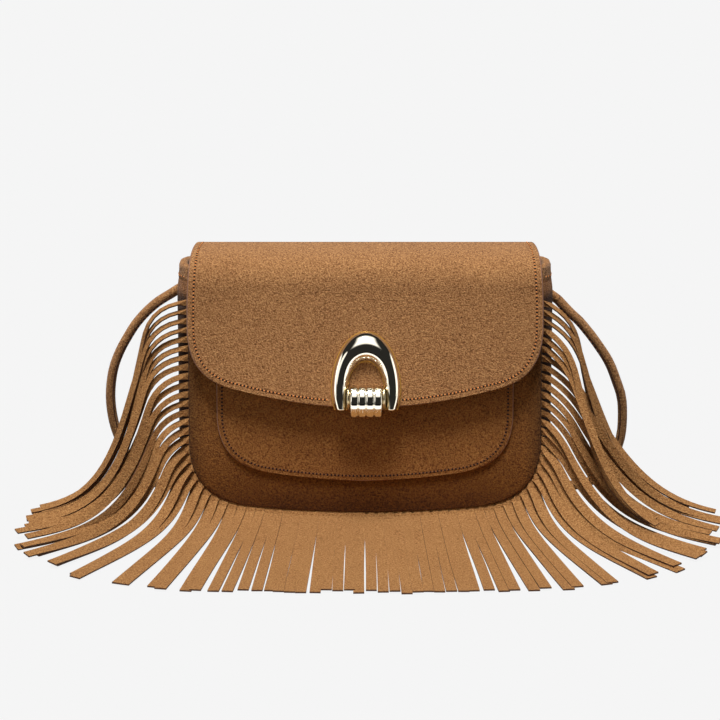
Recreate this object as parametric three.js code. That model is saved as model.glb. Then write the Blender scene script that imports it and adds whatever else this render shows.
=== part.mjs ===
import * as THREE from 'three';

// Body sizes, in millimetres: X across, -Y to the front, Z up, ground at zero
const BODY_WIDTH = 210;
const BOTTOM_DEPTH = 60;
const MOUTH_DEPTH = 38;
const SEAM_HEIGHT = 5;
const MOUTH_HEIGHT = 149;
const EAR_RISE = 3.5;
const CORNER_WIDTH = 37;
const CORNER_HEIGHT = 40;
const BOTTOM_BOW = 3.6;
const GUSSET_BULGE = 8;
const FRONT_CROWN = 4;
const BACK_CROWN = 2;

// Material thicknesses and the clearance between touching pieces
const SUEDE = 1.6;
const LINING = 0.8;
const FRINGE_THICKNESS = 0.9;
const FIT = 0.3;

// Base board inside the bottom
const BOARD_LENGTH = 86;
const BOARD_DEPTH = 26;
const BOARD_THICKNESS = 1.5;

// Front pocket
const POCKET_WIDTH = 176;
const POCKET_TOP = 98;
const POCKET_BOTTOM = 25;
const POCKET_CORNER = 36;
const POCKET_BOW = 4;

// Flap: widths across, and the places of its bend and lower edge in the side view
const FLAP_ROOT_WIDTH = BODY_WIDTH - 14;
const FLAP_WIDTH = BODY_WIDTH;
const FLAP_CREST_RISE = 11.8;
const FLAP_BEND_RISE = -11;
const FLAP_BOTTOM = 72;
const FLAP_CORNER_WIDTH = 30;
const FLAP_CORNER_HEIGHT = 37;
const FLAP_BOW = 10;
const FLAP_DRAPE = 3;
const FLAP_LEAN = 13;
const FLAP_ROOT_DEPTH = 14;
const FLAP_MARGIN = 2.5;

// Fringe
const STRIP_PITCH = 5.5;
const STRIP_TOP = 132;
const STRIP_BAND = 4;
const STRIP_BAND_LIP = 2;
const STRIP_BEND = 32;
const STRIP_START = 20;
const STRIP_TWIST = 13;
const STRIP_SETTLE = 20;
const STRIP_TURN = 60;
const STRIP_LEAVE = 3;
const STRIP_STEP = 0.5;
const STRIP_STOPS = [0.02, 0.05, 0.1, 0.18, 0.3, 0.47, 0.7, 1];
const STRIP_GROUND = FRINGE_THICKNESS / 2 + FIT;

// Clasp
const ARCH_WIDTH = 38.8;
const ARCH_HEIGHT = 46;
const ARCH_ROUND = 0.86;
const ARCH_HOLE_WIDTH = 22.6;
const ARCH_HOLE_HEIGHT = 29.2;
const ARCH_HOLE_ROUND = 0.76;
const ARCH_FOOT_WIDTH = 35;
const ARCH_FOOT_HOLE = 24;
const ARCH_RISE = 5.5;
const ARCH_EDGE = 0.8;
const CLASP_DROP = 1.8;
const BARREL_UP = -11.8;
const SNAP_UP = -1;
const BARREL_LENGTH = 18.2;
const BARREL_HEIGHT = 16.4;
const BARREL_RISE = 7;
const BARREL_RIBS = 4;
const BARREL_GROOVE = 0.06;
const COLLAR_LENGTH = 1.6;
const COLLAR_HEIGHT = 13.2;
const MAGNET_DIAMETER = 18;
const MAGNET_THICKNESS = 1.2;
const STUD_DIAMETER = 5;
const STUD_HEIGHT = 0.7;
const RECESS_DIAMETER = 9;

// Grid steps of the sheets and the clasp
const GUSSET_ALONG = 37;
const GUSSET_ACROSS = 7;
const LINING_ACROSS = 8;
const LINING_UP = 6;
const ARCH_ACROSS = 7;
const ARCH_ALONG = 26;
const BARREL_AROUND = 10;

// Strap: its route by hand from each tab to the coil, and the coil behind the bag
const STRAP_DIAMETER = 6;
const STRAP_SIDES = 10;
const STRAP_STEP = 2.4;
const TAB_LENGTH = 6;
const TAB_HEIGHT = 10;
const TAB_DEPTH = 5.5;
const TAB_OUT = 5.2;
const TAB_Y = 17.2;
const TAB_Z = 130;
const STRAP_LEFT = [
  [-118.4, 17, 129], [-126, 17, 124.3], [-133, 18, 118.2], [-138.8, 18.5, 111.8], [-143.2, 19, 105.5],
  [-150.4, 20, 92.7], [-155, 21, 79.9], [-157, 22.5, 63.8], [-155.6, 24, 47.7], [-151.4, 26, 33.2],
  [-146.5, 28, 21], [-138.5, 30.5, 10], [-127, 33.5, 4.2], [-112, 36, 3.1], [-90, 38.5, 3.1],
  [-60, 40.7, 3.1], [-20.6, 41.6, 3.1]];
const STRAP_RIGHT = [
  [117.7, 17, 125.4], [125.6, 17, 117], [130.9, 17.5, 112.1], [136.3, 18, 105.7], [141.1, 18.5, 99.4],
  [149.6, 20, 86.5], [154.9, 21, 73.7], [158.8, 22.5, 60.7], [159.3, 25, 41.2], [156.3, 26.5, 28],
  [151, 28.5, 16.5], [142, 31, 7.6], [131, 33.5, 3.8], [116, 36.5, 3.1], [92, 40, 3.1], [66, 43, 3.1],
  [46, 44.5, 4.2], [26.4, 44.8, 7]];
const COIL_Y = 78;
const COIL_RADIUS = 33;
const COIL_HEIGHT = 12;

const halfWidth = BODY_WIDTH / 2;
const bag = new THREE.Group();

// Materials
function material(color, roughness, metalness = 0) {
  return new THREE.MeshStandardMaterial({ color, roughness, metalness });
}
const suede = () => material(0x9c6b3f, 0.95);
const cloth = () => material(0x8a6a4a, 0.85);
const gold = () => material(0xd9c08a, 0.18, 1);
const steel = () => material(0xb8b8b8, 0.35, 1);
const board = () => material(0x6f5a45, 0.9);

// A named piece of the bag
function addPiece(name, geometry, finish, parent = bag) {
  const mesh = new THREE.Mesh(geometry, finish);
  mesh.name = name;
  parent.add(mesh);
  return mesh;
}

// Signed volume of an indexed geometry, positive when its faces point out
function signedVolume(positions, indices) {
  const [a, b, c] = [new THREE.Vector3(), new THREE.Vector3(), new THREE.Vector3()];
  let volume = 0;
  for (let i = 0; i < indices.length; i += 3) {
    a.fromArray(positions, indices[i] * 3);
    b.fromArray(positions, indices[i + 1] * 3);
    c.fromArray(positions, indices[i + 2] * 3);
    volume += a.dot(b.cross(c)) / 6;
  }
  return volume;
}

// Geometry from points and triangles, turned to face out
function closedGeometry(positions, indices) {
  const ordered = signedVolume(positions, indices) > 0 ? indices : indices.toReversed();
  const geometry = new THREE.BufferGeometry();
  geometry.setAttribute('position', new THREE.Float32BufferAttribute(positions, 3));
  geometry.setIndex(ordered);
  geometry.computeVertexNormals();
  return geometry;
}

// A closed sheet between two faces, each a function of (i, j) in 0..1 that gives a point
function sheetSolid(outside, inside, across, along) {
  const positions = [];
  const indices = [];
  for (const face of [outside, inside]) {
    for (let j = 0; j <= along; j++) {
      for (let i = 0; i <= across; i++) {
        positions.push(...face(i / across, j / along));
      }
    }
  }
  const back = (across + 1) * (along + 1);
  const at = (i, j) => j * (across + 1) + i;
  const quad = (a, b, c, d) => indices.push(a, b, c, a, c, d);
  for (let j = 0; j < along; j++) {
    for (let i = 0; i < across; i++) {
      quad(at(i, j), at(i + 1, j), at(i + 1, j + 1), at(i, j + 1));
      quad(back + at(i, j + 1), back + at(i + 1, j + 1), back + at(i + 1, j), back + at(i, j));
    }
  }
  const rim = [];
  for (let i = 0; i < across; i++) rim.push(at(i, 0));
  for (let j = 0; j < along; j++) rim.push(at(across, j));
  for (let i = across; i > 0; i--) rim.push(at(i, along));
  for (let j = along; j > 0; j--) rim.push(at(0, j));
  rim.forEach((a, k) => {
    const b = rim[(k + 1) % rim.length];
    quad(b, a, back + a, back + b);
  });
  return closedGeometry(positions, indices);
}

// Half the depth of the body at a height, to the inner face of the front and back panels
function halfDepth(z) {
  const rise = (z - SEAM_HEIGHT) / (MOUTH_HEIGHT - SEAM_HEIGHT);
  return THREE.MathUtils.lerp(BOTTOM_DEPTH, MOUTH_DEPTH, rise) / 2;
}

// How far a panel bellies out at a point
function crown(x, z, height) {
  const middle = (SEAM_HEIGHT + MOUTH_HEIGHT) / 2;
  const across = Math.min(1, Math.abs(x) / halfWidth);
  const up = Math.min(1, Math.abs(z - middle) / (MOUTH_HEIGHT - middle));
  return height * (1 - across ** 2) * (1 - up ** 2);
}

// Right-hand edge of a panel, from the end of its bowed bottom up to its top edge
function sidePath(half, bottom, top, cornerWidth, cornerHeight) {
  const path = new THREE.Path();
  path.moveTo(half - cornerWidth, bottom);
  path.bezierCurveTo(half - 0.3 * cornerWidth, bottom + 0.06 * cornerHeight,
    half, bottom + 0.4 * cornerHeight, half, bottom + cornerHeight);
  path.lineTo(half, top);
  return path;
}

// A panel in the front view: rows follow the side edge up, and sag in the middle by the bow
function panelMap(side, bottom, top, bow) {
  return (i, j) => {
    const end = side.getPoint(j);
    const u = 2 * i - 1;
    const sag = bow * (1 - (end.y - bottom) / (top - bottom)) ** 2;
    return [u * end.x, end.y - sag * (1 - u * u)];
  };
}

// A panel of the body, front (-1) or back (+1), its inner face lying off the seam plane
function bodyPanel(facing, inset, off, thickness, top, crownHeight, across = 12, along = 9) {
  const bottom = SEAM_HEIGHT + BOTTOM_BOW + inset;
  const side = sidePath(halfWidth - inset, bottom, top, CORNER_WIDTH - inset, CORNER_HEIGHT);
  const map = panelMap(side, bottom, top, BOTTOM_BOW);
  const face = (lift) => (i, j) => {
    const [x, z] = map(i, j);
    return [x, facing * (halfDepth(z) + off + lift + crown(x, z, crownHeight)), z];
  };
  return sheetSolid(face(thickness), face(0), across, along);
}

// The seam that front panel, fringe and gusset share: a U from the left top to the right top
function seamPath(top) {
  const low = SEAM_HEIGHT + BOTTOM_BOW;
  const flat = halfWidth - CORNER_WIDTH;
  const path = new THREE.Path();
  path.moveTo(-halfWidth, top);
  path.lineTo(-halfWidth, low + CORNER_HEIGHT);
  path.bezierCurveTo(-halfWidth, low + 0.4 * CORNER_HEIGHT,
    -halfWidth + 0.3 * CORNER_WIDTH, low + 0.06 * CORNER_HEIGHT, -flat, low);
  path.quadraticCurveTo(0, low - 2 * BOTTOM_BOW, flat, low);
  path.bezierCurveTo(halfWidth - 0.3 * CORNER_WIDTH, low + 0.06 * CORNER_HEIGHT,
    halfWidth, low + 0.4 * CORNER_HEIGHT, halfWidth, low + CORNER_HEIGHT);
  path.lineTo(halfWidth, top);
  return path;
}

// Point and outward direction on a seam path
function seamAt(path, s) {
  const point = path.getPoint(s);
  const tangent = path.getTangent(s);
  return { x: point.x, z: point.y, outX: tangent.y, outZ: -tangent.x, alongX: tangent.x, alongZ: tangent.y };
}

// The gusset strip or its lining: bellied out between the seams and pressed flat on the ground
function gussetStrip(top, frontGap, backGap, inward, thickness, along, across) {
  const path = seamPath(top);
  const face = (lift) => (t, s) => {
    const seam = seamAt(path, s);
    const half = halfDepth(seam.z);
    const y = THREE.MathUtils.lerp(-half + frontGap, half - backGap, t);
    const belly = GUSSET_BULGE * (1 - Math.abs(2 * t - 1) ** 2.5);
    const groundedZ = Math.max(0, seam.z + seam.outZ * belly);
    return [seam.x + seam.outX * (belly - lift), y, groundedZ - seam.outZ * lift];
  };
  return sheetSolid(face(inward), face(inward + thickness), across, along);
}

// Body shell
addPiece('front_panel', bodyPanel(-1, 0, 0, SUEDE, MOUTH_HEIGHT, FRONT_CROWN), suede());
addPiece('back_panel', bodyPanel(1, 0, 0, SUEDE, MOUTH_HEIGHT, BACK_CROWN), suede());
const seamStack = FRINGE_THICKNESS + 2 * FIT;
addPiece('gusset', gussetStrip(MOUTH_HEIGHT + EAR_RISE, seamStack, FIT, 0, SUEDE, GUSSET_ALONG,
  GUSSET_ACROSS), suede());

// Lining, sewn from the same three shapes, and the board under it
const liningTop = MOUTH_HEIGHT - 4;
const liningInset = SUEDE + 2 * FIT;
const liningInward = SUEDE + FIT + BOARD_THICKNESS + FIT;
addPiece('lining_front', bodyPanel(-1, liningInset, -seamStack - LINING, LINING, liningTop, FRONT_CROWN,
  LINING_ACROSS, LINING_UP), cloth());
addPiece('lining_back', bodyPanel(1, liningInset, -FIT - LINING, LINING, liningTop, BACK_CROWN,
  LINING_ACROSS, LINING_UP), cloth());
addPiece('lining_gusset', gussetStrip(liningTop, seamStack + LINING + FIT, 2 * FIT + LINING,
  liningInward, LINING, 19, 4), cloth());
const boardShape = new THREE.BoxGeometry(BOARD_LENGTH, BOARD_DEPTH, BOARD_THICKNESS);
const baseBoard = addPiece('base_board', boardShape, board());
baseBoard.position.z = SUEDE + FIT + BOARD_THICKNESS / 2;

// Front pocket, laid on the front panel
function pocketGeometry() {
  const side = sidePath(POCKET_WIDTH / 2, POCKET_BOTTOM + POCKET_BOW, POCKET_TOP, POCKET_CORNER,
    POCKET_CORNER);
  const map = panelMap(side, POCKET_BOTTOM + POCKET_BOW, POCKET_TOP, POCKET_BOW);
  const face = (lift) => (i, j) => {
    const [x, z] = map(i, j);
    return [x, -(halfDepth(z) + SUEDE + FIT + lift + crown(x, z, FRONT_CROWN)), z];
  };
  return sheetSolid(face(SUEDE), face(0), 10, 6);
}
addPiece('front_pocket', pocketGeometry(), suede());

// Side view of the flap's outer face: up from its root, over the crest and down the front
const rootY = MOUTH_DEPTH / 2 + SUEDE + FIT + SUEDE;
const rootZ = MOUTH_HEIGHT + 2;
const bendY = -(MOUTH_DEPTH / 2 + 10);
const bendZ = MOUTH_HEIGHT + FLAP_BEND_RISE;
const crestZ = MOUTH_HEIGHT + FLAP_CREST_RISE;
const frontLean = FLAP_LEAN / (bendZ - FLAP_BOTTOM);

function wrapPath() {
  const path = new THREE.Path();
  path.moveTo(rootY, rootZ);
  path.bezierCurveTo(rootY, crestZ - 2, rootY * 0.6, crestZ + 0.7, rootY * 0.15, crestZ);
  path.bezierCurveTo(-rootY * 0.7, crestZ - 0.6, bendY + 8 * frontLean, bendZ + 17, bendY, bendZ);
  path.lineTo(bendY - FLAP_LEAN, FLAP_BOTTOM);
  return path;
}
const wrap = wrapPath();
const wrapLength = wrap.getLength();

// Right-hand edge of the flap's flat pattern: x across, y the distance from the root
function flapSide() {
  const half = FLAP_WIDTH / 2;
  const end = wrapLength - FLAP_BOW;
  const path = new THREE.Path();
  path.moveTo(FLAP_ROOT_WIDTH / 2, 0);
  path.quadraticCurveTo(half - 0.01 * FLAP_WIDTH, 0.2 * end, half, 0.6 * end);
  path.lineTo(half, end - FLAP_CORNER_HEIGHT);
  path.bezierCurveTo(half, end - 0.4 * FLAP_CORNER_HEIGHT,
    half - 0.35 * FLAP_CORNER_WIDTH, end - 0.1 * FLAP_CORNER_HEIGHT, half - FLAP_CORNER_WIDTH, end);
  return path;
}

// A point on the flap at a depth under its outer face
function flapPoint(x, distance, depth) {
  const place = Math.min(1, distance / wrapLength);
  const point = wrap.getPoint(place);
  const tangent = wrap.getTangent(place);
  const drape = FLAP_DRAPE * Math.abs(x / (FLAP_WIDTH / 2)) ** 4
    * THREE.MathUtils.smoothstep(distance, 50, 110);
  const under = depth + drape;
  return [x, point.x - tangent.y * under, point.y + tangent.x * under];
}

function flapSheet(depth, thickness, narrower) {
  const side = flapSide();
  const end = wrapLength - FLAP_BOW;
  const face = (under) => (i, j) => {
    const edge = side.getPoint(j);
    const u = 2 * i - 1;
    const bow = FLAP_BOW * (edge.y / end) ** 2;
    const distance = (edge.y + bow * (1 - u * u)) * (1 - narrower / wrapLength);
    return flapPoint(u * (edge.x - narrower), distance, under);
  };
  return sheetSolid(face(depth), face(depth + thickness), 12, 16);
}
addPiece('flap', flapSheet(0, SUEDE, 0), suede());
addPiece('flap_lining', flapSheet(SUEDE + FIT, LINING, FLAP_MARGIN), cloth());

// The end of the flap that is sewn flat to the back panel
function flapRootGeometry() {
  const face = (lift) => (i, j) => {
    const x = (i - 0.5) * FLAP_ROOT_WIDTH;
    const z = rootZ - FIT - j * FLAP_ROOT_DEPTH;
    return [x, halfDepth(z) + SUEDE + FIT + lift + crown(x, z, BACK_CROWN), z];
  };
  return sheetSolid(face(SUEDE), face(0), 10, 1);
}
addPiece('flap_root', flapRootGeometry(), suede());

// A value that changes along the seam, from pairs of a distance from the bottom centre and a value
function valueAlong(pairs, distance) {
  const next = pairs.findIndex(([place]) => place >= distance);
  if (next === -1) return pairs.at(-1)[1];
  if (next === 0) return pairs[0][1];
  const [[a, low], [b, high]] = [pairs[next - 1], pairs[next]];
  return THREE.MathUtils.lerp(low, high, (distance - a) / (b - a));
}

// Heading of a strip in plan in degrees from straight ahead, how steeply it hangs, and its length
const HEADING = [[0, 0], [50, 5], [85, 19], [112, 34], [150, 64], [180, 71], [226, 78]];
const HANG = [[0, 70], [120, 70], [226, 72.5]];
const LENGTH = [[0, 150], [90, 148], [150, 144], [226, 168]];

// Width of a strip, narrower where the seam turns the corner
const WIDTH = [[0, 5], [95, 5], [112, 3.8], [150, 3.8], [165, 5]];

// The upper strips lie over the lower ones, so they come to rest higher
const PILE = [[0, 0], [130, 0], [150, 1.5], [226, 20]];

// Cross-sections of one strip: out of the seam, twisted level, bent down by its weight, along the ground
function stripSections(seam, place, total) {
  const distance = Math.abs(place - total / 2);
  const side = place < total / 2 ? -1 : 1;
  const heading = THREE.MathUtils.degToRad(valueAlong(HEADING, distance));
  const hang = valueAlong(HANG, distance);
  const length = valueAlong(LENGTH, distance);
  const halfStrip = valueAlong(WIDTH, distance) / 2;
  const ground = STRIP_GROUND + valueAlong(PILE, distance);
  const out = new THREE.Vector3(seam.outX, 0, seam.outZ);
  const seamWidth = new THREE.Vector3(seam.alongX, 0, seam.alongZ);
  const point = bandPoint(seam, STRIP_BAND_LIP, 0);
  const tangent = out.clone();
  const sections = [];
  let travelled = 0;
  for (const share of STRIP_STOPS) {
    const stop = share * length;
    while (travelled < stop) {
      const step = Math.min(STRIP_STEP, stop - travelled);
      const turn = THREE.MathUtils.smoothstep(travelled, 0, STRIP_TURN);
      const facing = THREE.MathUtils.lerp(Math.min(heading, Math.PI / 2), heading, turn);
      const bend = THREE.MathUtils.smoothstep(travelled, 0, STRIP_BEND);
      const settle = 1 - Math.exp(-Math.max(0, point.z - ground) / STRIP_SETTLE);
      const drop = Math.min(THREE.MathUtils.lerp(STRIP_START, hang, bend), hang * settle);
      const down = THREE.MathUtils.degToRad(drop);
      const free = new THREE.Vector3(side * Math.sin(facing) * Math.cos(down),
        -Math.cos(facing) * Math.cos(down), -Math.sin(down));
      tangent.copy(out).lerp(free, THREE.MathUtils.smoothstep(travelled, 0, STRIP_LEAVE)).normalize();
      point.addScaledVector(tangent, step);
      travelled += step;
    }
    const level = new THREE.Vector3(0, 0, 1).cross(tangent).normalize();
    const width = seamWidth.clone().lerp(level, THREE.MathUtils.smoothstep(travelled, 0, STRIP_TWIST));
    width.addScaledVector(tangent, -width.dot(tangent)).normalize();
    const face = tangent.clone().cross(width).multiplyScalar(FRINGE_THICKNESS / 2);
    width.multiplyScalar(halfStrip);
    sections.push([
      point.clone().sub(width).add(face),
      point.clone().add(width).add(face),
      point.clone().add(width).sub(face),
      point.clone().sub(width).sub(face),
    ]);
  }
  return sections;
}

// A point of the heading band, so far out of the seam, on its front (-1), middle (0) or back (1)
function bandPoint(seam, out, face) {
  const y = -halfDepth(seam.z) + FIT + FRINGE_THICKNESS * (1 + face) / 2;
  return new THREE.Vector3(seam.x + seam.outX * out, y, seam.z + seam.outZ * out);
}

// The fringe: one sheet, a heading band in the seam with the strips cut from it
function fringeGeometry() {
  const path = seamPath(STRIP_TOP + STRIP_PITCH / 2);
  const total = path.getLength();
  const count = Math.floor(total / STRIP_PITCH);
  const first = (total - (count - 1) * STRIP_PITCH) / 2;
  const positions = [];
  const indices = [];
  const addRing = (points) => {
    const start = positions.length / 3;
    points.forEach((point) => positions.push(point.x, point.y, point.z));
    return points.map((point, k) => start + k);
  };
  const quad = (a, b, c, d) => indices.push(a, b, c, a, c, d);
  const bandRing = (place) => {
    const seam = seamAt(path, place / total);
    return addRing([bandPoint(seam, -STRIP_BAND, -1), bandPoint(seam, STRIP_BAND_LIP, -1),
      bandPoint(seam, STRIP_BAND_LIP, 1), bandPoint(seam, -STRIP_BAND, 1)]);
  };
  const bandWalls = (from, to, sides) => {
    sides.forEach((k) => quad(from[k], to[k], to[(k + 1) % 4], from[(k + 1) % 4]));
  };
  let last = null;
  for (let k = 0; k < count; k++) {
    const place = first + k * STRIP_PITCH;
    const halfStrip = valueAlong(WIDTH, Math.abs(place - total / 2)) / 2;
    const near = bandRing(place - halfStrip);
    const far = bandRing(place + halfStrip);
    if (last) bandWalls(last, near, [0, 1, 2, 3]);
    else quad(near[0], near[1], near[2], near[3]);
    bandWalls(near, far, [0, 2, 3]);
    let ring = [near[1], far[1], far[2], near[2]];
    for (const section of stripSections(seamAt(path, place / total), place, total)) {
      const next = addRing(section);
      ring.forEach((corner, e) => quad(corner, ring[(e + 1) % 4], next[(e + 1) % 4], next[e]));
      ring = next;
    }
    quad(ring[0], ring[1], ring[2], ring[3]);
    last = far;
  }
  quad(last[3], last[2], last[1], last[0]);
  return closedGeometry(positions, indices);
}
addPiece('fringe', fringeGeometry(), suede());

// Clasp, in a frame of its own: X across, Y up the flap, Z out of it, the origin under the barrel
const claspUp = 16;
const claspPlace = 1 - (claspUp - CLASP_DROP) / wrapLength;
const claspPoint = wrap.getPoint(claspPlace);
const claspTangent = wrap.getTangent(claspPlace);
const clasp = new THREE.Group();
clasp.position.set(0, claspPoint.x, claspPoint.y);
clasp.rotation.x = Math.atan2(-claspTangent.y, -claspTangent.x);
bag.add(clasp);
const ARCH_BASE = -claspUp;

// One edge of the horseshoe, from the left foot over the top to the right foot
function archEdge(width, height, foot, roundness) {
  const shoulder = height - width * roundness;
  const path = new THREE.Path();
  path.moveTo(-foot / 2, ARCH_BASE);
  path.quadraticCurveTo(-width / 2, ARCH_BASE + shoulder / 2, -width / 2, ARCH_BASE + shoulder);
  path.absellipse(0, ARCH_BASE + shoulder, width / 2, height - shoulder, Math.PI, 0, true);
  path.quadraticCurveTo(width / 2, ARCH_BASE + shoulder / 2, foot / 2, ARCH_BASE);
  return path;
}

// The horseshoe: domed between its two edges, flat against the flap
function archGeometry() {
  const outer = archEdge(ARCH_WIDTH, ARCH_HEIGHT, ARCH_FOOT_WIDTH, ARCH_ROUND);
  const inner = archEdge(ARCH_HOLE_WIDTH, ARCH_HOLE_HEIGHT, ARCH_FOOT_HOLE, ARCH_HOLE_ROUND);
  const dome = (i, j) => {
    const point = outer.getPoint(j).lerp(inner.getPoint(j), i);
    return [point.x, point.y, FIT + ARCH_EDGE + ARCH_RISE * Math.sqrt(1 - (2 * i - 1) ** 2)];
  };
  const flat = (i, j) => {
    const point = outer.getPoint(j).lerp(inner.getPoint(j), i);
    return [point.x, point.y, FIT];
  };
  return sheetSolid(dome, flat, ARCH_ACROSS, ARCH_ALONG);
}

addPiece('clasp_arch', archGeometry(), gold(), clasp);

// A piece between the legs, rounded over from top to bottom, its rise a function of the place along it
function roundedBlock(length, height, rise, across, around) {
  const dome = (i, j) => {
    const angle = j * Math.PI;
    const place = rise(i);
    return [(i - 0.5) * length, BARREL_UP - place * height / 2 * Math.cos(angle),
      FIT + ARCH_EDGE + place * BARREL_RISE * Math.sin(angle)];
  };
  const flat = (i, j) => [(i - 0.5) * length, dome(i, j)[1], FIT];
  return sheetSolid(dome, flat, across, around);
}

// The barrel has rounded ribs with narrow grooves between them
const ribSteps = 5;
const ribShape = [1, 1 + BARREL_GROOVE * 0.7, 1 + BARREL_GROOVE, 1 + BARREL_GROOVE, 1 + BARREL_GROOVE * 0.7];
const ribRise = (i) => ribShape[Math.round(i * BARREL_RIBS * ribSteps) % ribSteps];
const barrelSteps = BARREL_RIBS * ribSteps;
const barrel = roundedBlock(BARREL_LENGTH, BARREL_HEIGHT, ribRise, barrelSteps, BARREL_AROUND);
addPiece('clasp_barrel', barrel, gold(), clasp);

// The collars that close the barrel's ends
for (const [name, side] of [['clasp_collar_left', -1], ['clasp_collar_right', 1]]) {
  const collar = addPiece(name, roundedBlock(COLLAR_LENGTH, COLLAR_HEIGHT, () => 1, 1, 10), gold(), clasp);
  collar.position.x = side * (BARREL_LENGTH / 2 + FIT + COLLAR_LENGTH / 2);
}

// Magnetic snap behind the clasp: a stud disc under the flap, a recessed disc on the pocket
function disc(radius, thickness, holeRadius, studHeight) {
  const profile = [[0, 0], [radius, 0], [radius, thickness]];
  if (holeRadius) {
    const recess = thickness - 2 * studHeight;
    profile.push([holeRadius, thickness], [holeRadius, recess], [0, recess]);
  } else {
    const studTop = thickness + studHeight;
    profile.push([STUD_DIAMETER / 2, thickness], [STUD_DIAMETER / 2, studTop], [0, studTop]);
  }
  const geometry = new THREE.LatheGeometry(profile.map(([r, z]) => new THREE.Vector2(r, z)), 20);
  geometry.rotateX(Math.PI / 2);
  return geometry;
}
const snapShape = disc(MAGNET_DIAMETER / 2, MAGNET_THICKNESS, 0, STUD_HEIGHT);
const snapTop = addPiece('snap_stud', snapShape, steel(), clasp);
snapTop.rotation.x = Math.PI;
snapTop.position.set(0, SNAP_UP, -(SUEDE + FIT + LINING + FIT));

// The lower disc lies on the pocket, in line with the upper one
const pocketFace = (z) => -(halfDepth(z) + 2 * SUEDE + FIT + crown(0, z, FRONT_CROWN));
const snapZ = claspPoint.y + SNAP_UP;
const snapTilt = Math.atan2(pocketFace(snapZ + 1) - pocketFace(snapZ - 1), 2);
const snapBase = addPiece('snap_socket',
  disc(MAGNET_DIAMETER / 2, MAGNET_THICKNESS + STUD_HEIGHT, RECESS_DIAMETER / 2, STUD_HEIGHT), steel());
snapBase.rotation.x = Math.PI / 2 - snapTilt;
snapBase.position.set(0, pocketFace(snapZ) - FIT, snapZ);

// The strap's ends are sewn into tabs on the gusset, just in front of the back seam
function tabGeometry(side) {
  const depth = TAB_DEPTH;
  const shape = new THREE.Shape();
  shape.moveTo(0, TAB_HEIGHT / 2);
  shape.lineTo(side * TAB_LENGTH * 0.5, TAB_HEIGHT / 2);
  shape.quadraticCurveTo(side * TAB_LENGTH, TAB_HEIGHT / 2, side * TAB_LENGTH, 0);
  shape.lineTo(side * TAB_LENGTH, -TAB_HEIGHT / 2);
  shape.lineTo(0, -TAB_HEIGHT / 2);
  shape.closePath();
  const geometry = new THREE.ExtrudeGeometry(shape, { depth, bevelEnabled: false, curveSegments: 4 });
  geometry.rotateX(Math.PI / 2);
  geometry.translate(0, depth / 2, 0);
  return geometry;
}
for (const [name, side] of [['strap_tab_left', -1], ['strap_tab_right', 1]]) {
  const tab = addPiece(name, tabGeometry(side), suede());
  tab.position.set(side * (halfWidth + TAB_OUT), TAB_Y, TAB_Z);
}

// One run of the strap, from its tab down to the ground and in to the coil
function strapRun(points) {
  const knots = points.map((point) => new THREE.Vector3(...point));
  const curve = new THREE.CatmullRomCurve3(knots, false, 'centripetal');
  const section = new THREE.Shape();
  section.absarc(0, 0, STRAP_DIAMETER / 2, 0, 2 * Math.PI);
  const steps = Math.round(curve.getLength() / (STRAP_STEP * STRAP_DIAMETER));
  return new THREE.ExtrudeGeometry(section, { steps, extrudePath: curve, curveSegments: STRAP_SIDES / 2 });
}
addPiece('strap_left', strapRun(STRAP_LEFT), suede());
addPiece('strap_right', strapRun(STRAP_RIGHT), suede());

// The coil of spare strap behind the bag: two turns side by side and one on top
function coilGeometry() {
  const inside = COIL_RADIUS - STRAP_DIAMETER - FIT / 2;
  const outside = COIL_RADIUS + STRAP_DIAMETER + FIT / 2;
  const layer = STRAP_DIAMETER + 2 * FIT;
  const profile = [[inside, 0], [outside, 0], [outside, layer],
    [COIL_RADIUS + STRAP_DIAMETER / 2, COIL_HEIGHT],
    [COIL_RADIUS - STRAP_DIAMETER / 2, COIL_HEIGHT], [inside, layer], [inside, 0]];
  const geometry = new THREE.LatheGeometry(profile.map(([r, z]) => new THREE.Vector2(r, z)), 24);
  geometry.rotateX(Math.PI / 2);
  return geometry;
}
addPiece('strap_coil', coilGeometry(), suede()).position.set(0, COIL_Y, 0);

export default bag;
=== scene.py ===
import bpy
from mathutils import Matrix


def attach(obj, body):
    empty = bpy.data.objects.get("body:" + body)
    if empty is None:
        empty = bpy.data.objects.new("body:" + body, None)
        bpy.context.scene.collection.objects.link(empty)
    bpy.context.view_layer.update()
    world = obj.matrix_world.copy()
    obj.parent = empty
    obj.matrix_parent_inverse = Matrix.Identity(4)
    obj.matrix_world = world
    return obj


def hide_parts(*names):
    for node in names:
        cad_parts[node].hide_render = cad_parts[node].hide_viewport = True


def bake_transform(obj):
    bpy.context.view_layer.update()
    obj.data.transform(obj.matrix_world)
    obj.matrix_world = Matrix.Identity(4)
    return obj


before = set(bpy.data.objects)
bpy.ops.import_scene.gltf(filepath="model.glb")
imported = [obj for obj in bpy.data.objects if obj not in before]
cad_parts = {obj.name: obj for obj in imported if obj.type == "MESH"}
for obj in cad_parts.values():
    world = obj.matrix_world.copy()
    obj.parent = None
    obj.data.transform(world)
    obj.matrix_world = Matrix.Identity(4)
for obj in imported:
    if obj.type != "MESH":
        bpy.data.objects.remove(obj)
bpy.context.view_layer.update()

import math
import random

import bmesh
import bpy
from mathutils import Vector

MM = 0.001
scene = bpy.context.scene

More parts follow.
